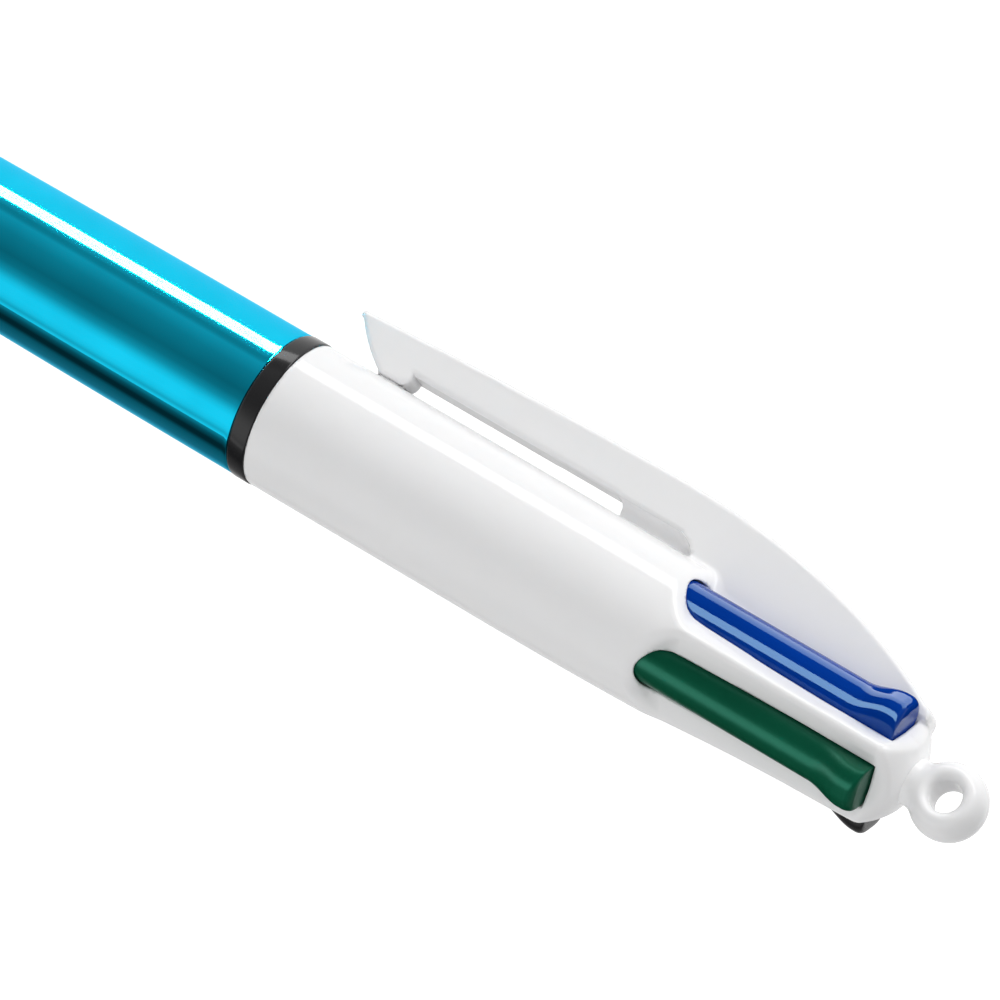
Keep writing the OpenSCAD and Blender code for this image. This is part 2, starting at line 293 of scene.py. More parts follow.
# ---------------------------------------------------------------- the upper body
TAPER_Z = 106.0          # the body narrows above this
TAPER = 0.001
FLOOR_RHO = 3.56         # floor of the hollow around a slider
FLOOR_RISE = 0.6         # how much higher the floor is at the wall
FLOOR_RUN = 14.0
WALL_RHO = 5.8
WALL_SLOPE = 2.3
WALL_BOW = 0.06          # the wall is round in plan
WALL_FOOT_R = 0.9
GAP = 0.5                # left ahead of a slider at the end of its travel


def body_radius(z):
    return BARREL_R - TAPER * np.maximum(z - TAPER_Z, 0) ** 2


def hollow_floor(z, across):
    """Distance from the axis to the floor of the hollow around a slider."""
    deep = np.maximum(1 - (z - WALL_Z) / FLOOR_RUN, 0)
    end_bevel = 0.15 * np.maximum(z - SLOT_TOP, 0)
    dish = 0.08 * (np.abs(across) - SLOT_HALF)
    return FLOOR_RHO + FLOOR_RISE * deep**1.5 - end_bevel + dish


def hollow(u, v, z):
    """The space cut away around a slider: a level floor behind a steep wall."""
    reach = WALL_SLOPE * (WALL_Z + WALL_BOW * v**2 - z) + WALL_RHO - u
    wall = reach / math.hypot(1, WALL_SLOPE)
    return meet(hollow_floor(z, v) - u, wall, WALL_FOOT_R)


def slot(u, v, z):
    """The slot itself and the channel that the rod runs in."""
    ahead = np.minimum(z - MOUTH_Z, 0)
    opening = meet(np.hypot(v, ahead) - SLOT_HALF, z - SLOT_TOP)
    opening = meet(opening, -u)
    channel_z = SLIDER_BOTTOM - TRAVEL - GAP
    channel = meet(disc(u - CHANNEL_RHO, v, SLOT_HALF), between(z, channel_z, SLOT_TOP))
    return join(opening, channel)


BORE_TOP = 137.6
SPIGOT_BORE_R = 4.3


def bore_radius(z):
    """The bore is straight around the guide core and narrows past it."""
    return np.interp(z, [113, 119.6, BORE_TOP], [5.2, 3.9, 3.2])


def clip_back(z):
    """Distance of the clip's back from the axis: a slow rise, then an elliptic fall."""
    apex, reach = 114.0, 10.65
    rise_run, rise_h = 28.4, 0.95
    fall_run, fall_h = 33, 15.9
    rise = reach - rise_h * np.maximum((apex - z) / rise_run, 0) ** 1.6
    past = np.clip((z - apex) / fall_run, 0, 1)
    return rise - fall_h * (1 - np.sqrt(1 - past**2))


def clip_outline():
    """The clip's side view as (distance from the axis, height)."""
    arm_x = BARREL_R + 1.15
    corner_r, foot_r, front_r, tip_r = 0.9, 0.9, 12.7, 0.35
    tip_end, back_end, root_x = 85.7, 138.9, 4.0
    back = [(float(clip_back(z)), z) for z in np.linspace(tip_end, back_end, 36)]
    end = arc(4.28, back_end, corner_r, 10, 90, 6)
    root = [(root_x, back_end + corner_r), (root_x, 111.0)]
    gap_end = arc(arm_x - corner_r, 109.6, corner_r, 90, 0, 7)
    neck = [(arm_x, 91.1)]
    foot = arc(BARREL_R + foot_r + 0.03, 90.1, foot_r, 75, 180, 9)
    front = arc(17.08, 94.79, front_r, 209.5, 231, 8)
    tip = arc(9.37, 84.98, tip_r, 228, 330, 7)
    return back + end + root + gap_end + neck + foot + front + tip


CLIP_OUTLINE = clip_outline()
CLIP_HALF = 1.5
CLIP_EDGE_R = 0.42
WEB_HALF = 0.55


def web_recess(x, y, z):
    """The thinned web between the end of the clip's gap and the body."""
    low, high, inner, end_r = 104.0, 117.75, 3.0, 2.65
    outer = BARREL_R + 1.15
    rounded_end = arc(outer - end_r, high - end_r, end_r, 0, 90, 12)
    outline = [(inner, low), (outer, low)] + rounded_end + [(inner, high)]
    return meet(polygon(outline, x, z), WEB_HALF - np.abs(y), 0.7)


def clip(x, y, z):
    plate = meet(polygon(CLIP_OUTLINE, x, z), np.abs(y) - CLIP_HALF, CLIP_EDGE_R)
    return cut(plate, web_recess(x, y, z), 0.12)


def spigot(rho, turn, z):
    """The threaded spigot inside the barrel, with a plain shoulder above the thread."""
    pitch, root_r, thread_h = 2, 4.82, 0.38
    low, high = 73.0, 85.5
    thread_low, thread_high, run = 73.6, 81.2, 0.8
    shoulder_z, shoulder_run = 81.6, 0.4
    phase = np.abs((z / pitch - turn / (2 * math.pi)) % 1 - 0.5) * 2
    ridge = np.clip((phase - 0.25) / 0.4, 0, 1)
    runout = np.clip((z - thread_low) / run, 0, 1) * np.clip((thread_high - z) / run, 0, 1)
    plain = np.clip((z - shoulder_z) / shoulder_run, 0, 1)
    radius = root_r + thread_h * np.maximum(ridge * runout, plain)
    steepness = 0.8  # the flanks make the distance grow faster than the radius
    return meet((rho - radius) * steepness, between(z, low, high), 0.1)


def upper_body(x, y, z):
    """The white shell with its clip and spigot, hollowed out; the clip points at -X."""
    rho = np.hypot(x, y)
    dome = np.hypot(rho, np.maximum(z - (BODY_TOP - DOME_R), 0)) - DOME_R
    outside = meet(rho - body_radius(z), dome, 0.3)
    outside = meet(outside, BODY_BOTTOM - z, 0.12)
    edge_r = np.interp(z, [119.8, 122.0, 126.0], [0.9, 0.35, 0.45])
    for angle in COLOURS.values():
        u, v = turned(x, y, angle)
        outside = cut(outside, hollow(u, v, z), edge_r)
    fillet_r = np.interp(z, [110, 116], [0.02, 0.45])
    shape = join(outside, clip(-x, y, z), fillet_r)
    shape = join(shape, spigot(rho, np.arctan2(y, x), z), 0.05)
    bore = meet(rho - bore_radius(z), between(z, 85.0, BORE_TOP))
    shape = cut(shape, bore, 0.05)
    shape = cut(shape, meet(rho - SPIGOT_BORE_R, between(z, 70, 86)), 0.15)
    for angle in COLOURS.values():
        u, v = turned(x, y, angle)
        shape = cut(shape, slot(u, v, z), 0.14)
    shape = cut(shape, meet(rho - STEM_R - 0.05, 136 - z), 0.05)
    # The seat is narrower than the collar, so that the seam between the two is clean
    seat_r = COLLAR_R - 0.18
    return cut(shape, meet(rho - seat_r, COLLAR_Z - z), 0.02)


def spin(points, angle):
    """Points turned about the pen's axis."""
    return points @ np.array(Matrix.Rotation(math.radians(angle), 3, "Z")).T


def build_upper_body():
    """Meshed in a frame whose axes point at the sliders, with finer lines at their mouths."""
    step, fine = ((0.26, 0.13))
    diagonal = math.sqrt(0.5)

    def aligned(x, y, z):
        return upper_body((x - y) * diagonal, (x + y) * diagonal, z)

    # A slot's side walls, at 1.9 mm, fall in the middle of a cell
    half = ((2.0, 5.05, step), (5.05, 5.95, fine), (5.95, 8.9, 1.3 * step))
    other_half = [(-end, -start, size) for start, end, size in reversed(half)]
    middle = [(-2.0, -1.8, 0.2), (-1.8, 1.8, step), (1.8, 2.0, 0.2)]
    side = fine_axis(*other_half, *middle, *half)
    lower = ((72.6, 82.4, step), (82.4, 93, step), (93, 107, 2 * step), (107, 118.6, 1.2 * step))
    upper = ((118.6, 122, fine), (122, 136, 0.9 * step), (136, 141.6, 0.7 * step))
    points, faces, normals = moulded(aligned, (side, side, fine_axis(*lower, *upper)))
    return add_mesh("upper_body_shell", spin(points, 45), faces, spin(normals, 45))


# ---------------------------------------------------------------- the sliders
RISE_Z = 134.9           # the tab rises from here
CROWN_Z = 137.9
CROWN_RHO = 5.98
FIN_BOTTOM = 124
FIN_TOP = 131
FIN_RHO = 0.75
PEG_L = 3.9


def tab_rise(z):
    """0 on the rod and 1 on the tab's crown."""
    return np.clip((z - RISE_Z) / (CROWN_Z - RISE_Z), 0, 1)


def tab_top(z):
    """Height of a slider's top above the axis: rod, hollow rise, crown, round back corner."""
    rod, corner = ROD_RHO + ROD_R, 0.7
    top = rod + (CROWN_RHO - rod) * (1 - np.cos(math.pi * tab_rise(z))) / 2
    past = np.clip((z - (SLIDER_TOP - corner)) / corner, 0, 1)
    return top - corner * (1 - np.sqrt(1 - past**2))


def slider(u, v, z):
    """One slider, in the frame of its own slot."""
    top = tab_top(z)
    corner = ROD_R - 0.42 * tab_rise(z)
    across = np.abs(v) - (ROD_R - corner)
    above = u - (top - corner)
    upper = np.hypot(np.maximum(across, 0), np.maximum(above, 0))
    upper = upper + np.minimum(np.maximum(across, above), 0) - corner
    rod = np.where(u > ROD_RHO, upper, disc(u - ROD_RHO, v, ROD_R))
    edge_r, flat_rho, half_fin, peg_r = 0.12, 2.2, 0.6, 0.6
    rod = meet(rod, flat_rho - u, edge_r)
    rod = meet(rod, between(z, SLIDER_BOTTOM, SLIDER_TOP), edge_r)
    fin = meet(between(v, -half_fin, half_fin), between(z, FIN_BOTTOM, FIN_TOP), edge_r)
    fin = meet(fin, between(u, FIN_RHO, 3), edge_r)
    along = z - SLIDER_BOTTOM
    peg = disc(u - PLUG_RHO - along * math.tan(LEAN), v, peg_r)
    peg = meet(peg, between(along, -PEG_L, 0.5), 0.1)
    return join(join(rod, fin, 0.15), peg)


def build_slider_mesh():
    step = 0.15
    us = np.arange(0.4, 6.3, step)
    vs = np.arange(-2.1, 2.1 + step, step)
    zs = fine_axis((100.6, 106, step), (106, 123, 4 * step), (123, 132, 2 * step), (132, 139.4, step))
    return moulded(slider, (us, vs, zs))


def build_slider(colour, mesh):
    points, faces, normals = mesh
    angle = COLOURS[colour]
    return add_mesh(f"slider_{colour}_rod", spin(points, angle), faces, spin(normals, angle))


# ---------------------------------------------------------------- end plug and guide core
STEM_Z = 135.6


def end_plug(x, y, z):
    """A ball with a rounded hole along Y, on a collar and a barbed stem."""
    rho = np.hypot(x, y)
    ball = np.sqrt(rho**2 + (z - LOOP_Z) ** 2) - LOOP_R
    neck = meet(rho - COLLAR_R, between(z, COLLAR_Z, BODY_TOP + 1.0), 0.05)
    shape = join(ball, neck, 0.35)
    shape = cut(shape, disc(x, z - LOOP_Z, LOOP_HOLE_R), 1.3)
    stem = meet(rho - STEM_R, between(z, STEM_Z, BODY_TOP), 0.15)
    barb_z, barb_l, barb_h = SLOT_TOP - 1.6, 1.5, 0.3
    cone = STEM_R + barb_h * np.clip((z - barb_z) / barb_l, 0, 1)
    barb = meet(rho - cone, between(z, barb_z, barb_z + barb_l), 0.05)
    return join(shape, join(stem, barb))


def build_end_plug():
    step = 0.13
    side = np.arange(-3.2, 3.2 + step, step)
    zs = np.arange(135.2, 147.4, step)
    points, faces, normals = moulded(end_plug, (side, side, zs))
    return add_mesh("end_plug_loop", points, faces, normals)


CORE_R = 5.1
CORE_BOTTOM = 85
CORE_TOP = 113
CORE_BASE_TOP = 90


def guide_core(x, y, z):
    """A disc with a pocket and a hole for each refill, and a cross of thin walls on it."""
    rho = np.hypot(x, y)
    hole_rho, pocket_r, hole_r, half_fin = 3.05, 1.75, 1.25, 0.4
    shape = meet(rho - CORE_R, between(z, CORE_BOTTOM, CORE_BASE_TOP), 0.15)
    for angle in COLOURS.values():
        u, v = turned(x, y, angle)
        shape = cut(shape, meet(disc(u - hole_rho, v, pocket_r), SPRING_SEAT_Z - z), 0.08)
        shape = cut(shape, disc(u - hole_rho, v, hole_r), 0.08)
    fins = join(between(x, -half_fin, half_fin), between(y, -half_fin, half_fin), 0.2)
    fins = meet(meet(fins, rho - CORE_R, 0.1), between(z, CORE_BASE_TOP - 0.5, CORE_TOP), 0.1)
    return join(shape, fins, 0.15)


def build_guide_core():
    step = 0.22
    side = np.arange(-5.5, 5.5 + step, step)
    zs = fine_axis((84.6, 91, step), (91, 112, 4 * step), (112, 113.5, step))
    points, faces, normals = moulded(guide_core, (side, side, zs))
    return add_mesh("guide_core_cross", points, faces, normals)


# ---------------------------------------------------------------- turned and swept pieces
NOSE_END_R = 2.5
NOSE_R = 5.5             # the radius where the nose's curve ends
NOSE_HOLE_R = 1.9
SOCKET_BOTTOM = 72.4     # the wider bore that takes the spigot
FINE_SIDES = 160


def barrel_outside(z):
    """The nose is a blunt curve, and the rest swells gently to the barrel's full radius."""
    quarter = math.pi / 2
    if z < NOSE_Z:
        return NOSE_END_R + (NOSE_R - NOSE_END_R) * math.sin(quarter * z / NOSE_Z) ** 0.8
    along = (z - NOSE_Z) / (BARREL_TOP - NOSE_Z)
    return NOSE_R + (BARREL_R - NOSE_R) * math.sin(quarter * along)


def build_barrel():
    lip_r, rim_r = 0.25, 0.15
    lip = arc(NOSE_END_R - lip_r, lip_r, lip_r, -90, -15, 6)
    nose = [(barrel_outside(z), z) for z in np.linspace(0.5, NOSE_Z, 30)]
    shaft = [(barrel_outside(z), z) for z in np.linspace(27, BARREL_TOP - 0.4, 24)]
    rim = arc(BARREL_R - rim_r, BARREL_TOP - rim_r, rim_r, 0, 90, 5)
    socket = [(BARREL_BORE_R, BARREL_TOP), (BARREL_BORE_R, SOCKET_BOTTOM), (4.75, SOCKET_BOTTOM)]
    bore = [(4.45, NOSE_Z), (NOSE_HOLE_R, 1.2), (NOSE_HOLE_R, 0.05), (NOSE_HOLE_R + 0.05, 0)]
    return lathe("lower_barrel_skin", lip + nose + shaft + rim + socket + bore, FINE_SIDES)


def build_ring():
    gap, edge_r = 0.01, 0.2
    top = BODY_BOTTOM - gap
    low = BARREL_TOP + gap
    outer = BARREL_R + 0.05
    outline = arc(outer - edge_r, low + edge_r, edge_r, -90, 0, 5)
    outline += arc(outer - edge_r, top - edge_r, edge_r, 0, 90, 5)
    outline += [(BARREL_BORE_R, top), (BARREL_BORE_R, low)]
    return lathe("trim_ring_band", outline, FINE_SIDES)


POINT_L = 14             # how far a point stands out of its tube
TUBE_BORE_R = 0.65
BALL_R = 0.5


def build_tube(colour):
    top, chamfer = REFILL_L - 0.12, 0.05
    low_end = [(TUBE_BORE_R, POINT_L), (TUBE_R - chamfer, POINT_L), (TUBE_R, POINT_L + chamfer)]
    high_end = [(TUBE_R, top - chamfer), (TUBE_R - chamfer, top), (TUBE_BORE_R, top)]
    place = along_refill(COLOURS[colour])
    return lathe(f"refill_tube_{colour}_wall", low_end + high_end, 32, place)


def build_point(colour):
    """Outline as (radius, distance from the ball's tip); a groove is turned in the cone."""
    nose = [(0.25, 0.62), (0.45, BALL_R), (0.5, 0.52), (0.55, 0.9), (0.55, 4.2)]
    cone = [(0.72, 6.4), (1.0, 10), (1.0, 11.2), (0.94, 11.3), (0.94, 11.5), (1.0, 11.6)]
    flange = [(1.0, 13), (TUBE_R, 13.03), (TUBE_R, 13.98), (1.03, POINT_L)]
    shank = [(TUBE_BORE_R, POINT_L), (TUBE_BORE_R, 18.9), (0.6, 19), (0.25, 19)]
    outline = nose + cone + flange + shank
    return lathe(f"refill_point_{colour}_brass", outline, 40, along_refill(COLOURS[colour]))


def build_ball(colour):
    outline = arc(0, BALL_R, BALL_R, -90, 90, 17)
    return lathe(f"writing_ball_{colour}_carbide", outline, 32, along_refill(COLOURS[colour]))


def build_spring(colour):
    """Round wire on a helix, with a dead coil lying flat at each end."""
    end_gap = 0.25
    seat = (SPRING_SEAT_Z - TIP_Z) / math.cos(LEAN) + end_gap
    top = REFILL_L - end_gap
    wire, mean, live = 0.175, 1.36, 9.0  # radius of the wire and of the coil, live turns
    aside = 0.1  # keeps the wire clear of the leaning refill at both ends of its travel
    turns = live + 2
    per_turn, sides = 30, 10
    count = round(turns * per_turn)
    low, high = seat + wire, top - wire
    knots = [0, 1, turns - 1, turns]
    heights = [low, low + 2 * wire, high - 2 * wire, high]
    points = []
    for n in range(count + 1):
        t = n / per_turn
        z = float(np.interp(t, knots, heights))
        a = 2 * math.pi * t
        for k in range(sides):
            b = 2 * math.pi * k / sides
            r = mean + wire * math.cos(b)
            points.append((aside + r * math.cos(a), r * math.sin(a), z + wire * math.sin(b)))
    faces = [list(range(sides))[::-1], [count * sides + k for k in range(sides)]]
    for n in range(count):
        for k in range(sides):
            m = (k + 1) % sides
            here, there = n * sides, (n + 1) * sides
            faces.append([here + k, here + m, there + m, there + k])
    placed = along_refill(COLOURS[colour])(np.array(points))
    return add_mesh(f"spring_{colour}_wire", placed, faces, sharp=60)


# ---------------------------------------------------------------- materials
def new_material(name):
    material = bpy.data.materials.new(name)
    material.use_nodes = True
    tree = material.node_tree
    tree.nodes.clear()
    output = tree.nodes.new("ShaderNodeOutputMaterial")
    shader = tree.nodes.new("ShaderNodeBsdfPrincipled")
    tree.links.new(shader.outputs["BSDF"], output.inputs["Surface"])
    return material, tree, shader


def noise(tree, grain_mm, detail=3.0, stretch=(1, 1, 1)):
    """Noise in the object's own frame, with grains of about grain_mm."""
    place = tree.nodes.new("ShaderNodeTexCoord")
    scale = tree.nodes.new("ShaderNodeMapping")
    scale.inputs["Scale"].default_value = stretch
    texture = tree.nodes.new("ShaderNodeTexNoise")
    texture.inputs["Scale"].default_value = 1 / (grain_mm * MM)
    texture.inputs["Detail"].default_value = detail
    tree.links.new(place.outputs["Object"], scale.inputs["Vector"])
    tree.links.new(scale.outputs["Vector"], texture.inputs["Vector"])
    return texture.outputs["Fac"]


def spread(tree, source, low, high):
    """Maps a noise value to the range low to high."""
    ranged = tree.nodes.new("ShaderNodeMapRange")
    ranged.inputs["From Min"].default_value = 0.3
    ranged.inputs["From Max"].default_value = 0.7
    ranged.inputs["To Min"].default_value = low
    ranged.inputs["To Max"].default_value = high
    tree.links.new(source, ranged.inputs["Value"])
    return ranged.outputs["Result"]


def tint(tree, source, dark, light):
    """Blends two colours by a noise value."""
    mix = tree.nodes.new("ShaderNodeMix")
    mix.data_type = "RGBA"
    mix.inputs["A"].default_value = (*dark, 1)
    mix.inputs["B"].default_value = (*light, 1)
    tree.links.new(spread(tree, source, 0, 1), mix.inputs["Factor"])
    return mix.outputs["Result"]


def relief(tree, source, depth_mm, strength):
    bump = tree.nodes.new("ShaderNodeBump")
    bump.inputs["Distance"].default_value = depth_mm * MM
    bump.inputs["Strength"].default_value = strength
    tree.links.new(source, bump.inputs["Height"])
    return bump.outputs["Normal"]


def plastic(name, colour, roughness, variation=0.06, coat=0.0, peel=0.15, sheen_mm=2.5):
    """Moulded plastic: faint flow marks in the colour, and a fine skin texture."""
    material, tree, shader = new_material(name)
    flow = noise(tree, sheen_mm, 2.0, (1, 1, 0.3))
    light = tuple(min(1, c * (1 + variation)) for c in colour)
    dark = tuple(c * (1 - variation) for c in colour)
    tree.links.new(tint(tree, flow, dark, light), shader.inputs["Base Color"])
    skin = noise(tree, 0.12, 4.0)
    varied = spread(tree, skin, roughness * 0.85, roughness * 1.15)
    tree.links.new(varied, shader.inputs["Roughness"])
    tree.links.new(relief(tree, skin, 0.004, peel), shader.inputs["Normal"])
    shader.inputs["IOR"].default_value = 1.49
    shader.inputs["Coat Weight"].default_value = coat
    shader.inputs["Coat Roughness"].default_value = 0.03
    return material, shader


def make_materials():
    made = {}
    made["body_white"], shader = plastic("gloss_white", (0.88, 0.88, 0.885), 0.08, 0.008, peel=0.05)
    shader.inputs["Subsurface Weight"].default_value = 0.12
    shader.inputs["Subsurface Radius"].default_value = (0.0012, 0.0011, 0.001)
    made["core_white"], shader = plastic("natural_white", (0.78, 0.78, 0.74), 0.42, 0.03)
    shader.inputs["Subsurface Weight"].default_value = 0.3
    shader.inputs["Subsurface Radius"].default_value = (0.002, 0.002, 0.0015)
    made["ring_black"], _ = plastic("gloss_black", (0.012, 0.012, 0.013), 0.12, 0.1, peel=0.06)
    made["plastic_blue"], shader = plastic("gloss_blue", (0.0008, 0.038, 0.3), 0.07, 0.06, peel=0.04)
    shader.inputs["Specular Tint"].default_value = (0.45, 0.8, 1.0, 1)
    made["plastic_green"], shader = plastic("satin_green", (0.0004, 0.068, 0.032), 0.34, 0.06)
    shader.inputs["Specular Tint"].default_value = (0.25, 1.0, 0.75, 1)
    made["plastic_black"], _ = plastic("satin_black", (0.012, 0.012, 0.013), 0.3, 0.1)
    made["plastic_red"], _ = plastic("gloss_red", (0.56, 0.008, 0.014), 0.15, 0.06)
    made["barrel_metallic"] = lacquered_metal()
    inks = {
        "ink_blue": (0.006, 0.02, 0.22),
        "ink_green": (0.002, 0.07, 0.035),
        "ink_black": (0.012, 0.012, 0.014),
        "ink_red": (0.4, 0.008, 0.012),
    }
    for slot_name, colour in inks.items():
        made[slot_name] = filled_tube(slot_name, colour)
    made["point_brass"] = turned_metal("turned_brass", (0.62, 0.44, 0.17), 0.22)
    made["spring_steel"] = turned_metal("drawn_steel", (0.56, 0.56, 0.54), 0.25)
    made["ball_steel"] = turned_metal("polished_carbide", (0.5, 0.5, 0.5), 0.06)
    return made


def lacquered_metal():
    """Cyan vacuum metallising under a clear lacquer with a trace of orange peel."""
    material, tree, shader = new_material("cyan_metallised")
    cloud = noise(tree, 6.0, 2.0)
    colour = tint(tree, cloud, (0.0008, 0.57, 0.84), (0.0016, 0.63, 0.92))
    tree.links.new(colour, shader.inputs["Base Color"])
    shader.inputs["Metallic"].default_value = 1.0
    shader.inputs["Specular Tint"].default_value = (0.02, 0.8, 1.0, 1)
    grain = noise(tree, 0.15, 3.0, (1, 1, 0.15))
    tree.links.new(spread(tree, grain, 0.03, 0.06), shader.inputs["Roughness"])
    tree.links.new(relief(tree, grain, 0.001, 0.02), shader.inputs["Normal"])
    shader.inputs["Coat Weight"].default_value = 0.13
    shader.inputs["Coat Roughness"].default_value = 0.02
    peel = relief(tree, noise(tree, 0.9, 1.0), 0.002, 0.03)
    tree.links.new(peel, shader.inputs["Coat Normal"])
    return material


def filled_tube(name, colour):
    """A milky tube with ink behind it."""
    material, tree, shader = new_material(name + "_tube")
    cloud = noise(tree, 1.5, 2.0, (1, 1, 0.2))
    milk, share = 0.28, 0.15
    light = tuple((1 - share) * c + share * milk for c in colour)
    tree.links.new(tint(tree, cloud, colour, light), shader.inputs["Base Color"])
    skin = noise(tree, 0.2, 3.0)
    tree.links.new(spread(tree, skin, 0.12, 0.2), shader.inputs["Roughness"])
    tree.links.new(relief(tree, skin, 0.003, 0.15), shader.inputs["Normal"])
    shader.inputs["Coat Weight"].default_value = 0.6
    shader.inputs["Coat Roughness"].default_value = 0.08
    return material


def turned_metal(name, colour, roughness):
    """Bright metal with fine lines from turning or drawing."""
    material, tree, shader = new_material(name)
    lines = noise(tree, 0.08, 2.0, (0.2, 0.2, 1))
    dark = tuple(0.85 * c for c in colour)
    tree.links.new(tint(tree, lines, dark, colour), shader.inputs["Base Color"])
    shader.inputs["Metallic"].default_value = 1.0
    tree.links.new(spread(tree, lines, 0.8 * roughness, 1.2 * roughness), shader.inputs["Roughness"])
    tree.links.new(relief(tree, lines, 0.002, 0.2), shader.inputs["Normal"])
    return material


# ---------------------------------------------------------------- putting the pen together
def dress(piece, body, node, materials, slot_name):
    """Puts a piece in place of a CAD node, on the node's body and with its finish."""
    piece.data.materials.append(materials[slot_name])
    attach(piece, body)
    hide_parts(node)
    return piece


def build_pen(materials):
    dress(build_upper_body(), "casing", "upper_body", materials, "body_white")
    dress(build_end_plug(), "casing", "end_plug", materials, "body_white")
    dress(build_guide_core(), "casing", "guide_core", materials, "core_white")
    dress(build_barrel(), "barrel", "lower_barrel", materials, "barrel_metallic")
    dress(build_ring(), "collar", "trim_ring", materials, "ring_black")
    slider_mesh = build_slider_mesh()
    for colour in COLOURS:
        unit = f"{colour}_unit"
        rod = build_slider(colour, slider_mesh)
        dress(rod, unit, f"slider_{colour}", materials, f"plastic_{colour}")
        tube = build_tube(colour)
        dress(tube, unit, f"refill_tube_{colour}", materials, f"ink_{colour}")
        dress(build_point(colour), unit, f"refill_point_{colour}", materials, "point_brass")
        dress(build_ball(colour), unit, f"writing_ball_{colour}", materials, "ball_steel")
        spring = build_spring(colour)
        dress(spring, "casing", f"spring_{colour}", materials, "spring_steel")
        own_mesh(spring)


# ---------------------------------------------------------------- studio
VIEW_AZIMUTH = 9.7
VIEW_ELEVATION = 20.59
AXIS_SLOPE = 30.36      # the pen's axis falls this far below the horizontal in the picture
VIEW_DISTANCE = 678.5   # from the camera to the top of the black ring
RING_LEFT = 15.76       # the ring's place in the picture, left of and above the middle
RING_ABOVE = 6.36
LENS = 324


def view_axes():
    """The picture's right and down directions and the view direction, as vectors."""
    azimuth = math.radians(VIEW_AZIMUTH)
    tau, theta = math.radians(VIEW_ELEVATION), math.radians(AXIS_SLOPE)
    up_axis = Vector((0, 0, 1))
    toward = Vector((math.sin(azimuth), -math.cos(azimuth), 0))
    side = Vector((-math.cos(azimuth), -math.sin(azimuth), 0))
    right = up_axis * math.cos(tau) * math.cos(theta) + side * math.sin(theta)
    right -= toward * math.cos(theta) * math.sin(tau)
    down = up_axis * math.cos(tau) * math.sin(theta) - side * math.cos(theta)
    down -= toward * math.sin(theta) * math.sin(tau)
    forward = -up_axis * math.sin(tau) - toward * math.cos(tau)
    return right, down, forward


def add_camera():
    right, down, forward = view_axes()
    camera = bpy.data.objects.new("camera", bpy.data.cameras.new("camera"))
    bpy.context.scene.collection.objects.link(camera)
    camera.data.lens = LENS
    camera.data.sensor_width = 36
    camera.data.clip_start = 0.01
    ring = Vector((0, 0, BODY_BOTTOM * MM))
    offset = forward * VIEW_DISTANCE - right * RING_LEFT - down * RING_ABOVE
    place = ring - offset * MM
    basis = Matrix((right, -down, -forward)).transposed().to_4x4()
    camera.matrix_world = Matrix.Translation(place) @ basis
    bpy.context.scene.camera = camera


FLOOR_Z = -13.0
FLOOR_RADII = (400, 3000)
FLOOR_GLOW = 0.62        # the floor's own light, for the camera only
HORIZON = 1.24           # the room's brightness at the pen's height and overhead
ZENITH = 0.12


def camera_only(tree, strength):
    """A strength that only the camera sees."""
    path = tree.nodes.new("ShaderNodeLightPath")
    seen = tree.nodes.new("ShaderNodeMath")
    seen.operation = "MULTIPLY"
    seen.inputs[1].default_value = strength
    tree.links.new(path.outputs["Is Camera Ray"], seen.inputs[0])
    return seen.outputs["Value"]


def add_floor():
    """A pale floor, below the points when they are pushed out."""
    sides = 64
    points, faces = [(0, 0, FLOOR_Z)], []
    for r in FLOOR_RADII:
        angles = np.arange(sides) * 2 * math.pi / sides
        points += [(r * math.cos(a), r * math.sin(a), FLOOR_Z) for a in angles]
    for k in range(sides):
        m = (k + 1) % sides
        faces.append([0, 1 + k, 1 + m])
        faces.append([1 + k, 1 + sides + k, 1 + sides + m, 1 + m])
    floor = add_mesh("floor", points, faces)
    material, tree, shader = new_material("pale_floor")
    cloud = noise(tree, 40.0, 2.0)
    tree.links.new(tint(tree, cloud, (0.9, 0.9, 0.9), (0.92, 0.92, 0.92)), shader.inputs["Base Color"])
    shader.inputs["Roughness"].default_value = 0.9
    shader.inputs["Specular IOR Level"].default_value = 0.0
    shader.inputs["Emission Color"].default_value = (1, 1, 1, 1)
    tree.links.new(camera_only(tree, FLOOR_GLOW), shader.inputs["Emission Strength"])
    floor.data.materials.append(material)
    floor.visible_glossy = False  # the tent goes on below it


# Brightness of the reflecting tent by direction around the pen: (azimuth, brightness)
TENT = [
    (0, 0.34), (8, 0.12), (17, 0.03), (25, 0.03), (34, 0.14), (58, 0.24), (100, 1.0),
    (213, 1.0), (217, 0.5), (225, 0.3), (230, 0.31), (236, 0.46), (244, 0.4), (256, 0.3),
    (284, 0.19), (296, 0.25), (307, 0.45), (318, 0.85), (325, 1.0), (338, 1.0),
    (346, 0.9), (353, 0.62),
]
TENT_R = 150
TENT_LOW = -600
TENT_HIGH = 260
# Strips of light that only some pieces mirror: azimuth, half width, brightness, pieces
STRIPS = {
    "barrel_strip": (205.2, 8.5, 110.0, ["lower_barrel_skin"]),
    "body_strip": (205.2, 8.5, 3.0, [
        "upper_body_shell", "end_plug_loop", "trim_ring_band", "slider_green_rod",
        "slider_black_rod", "slider_red_rod",
    ]),
    "blue_front": (279.0, 17.0, 9.0, ["slider_blue_rod"]),
    "blue_side": (183.0, 21.0, 4.0, ["slider_blue_rod"]),
    "green_soft": (318.0, 20.0, 3.2, ["slider_green_rod"]),
}


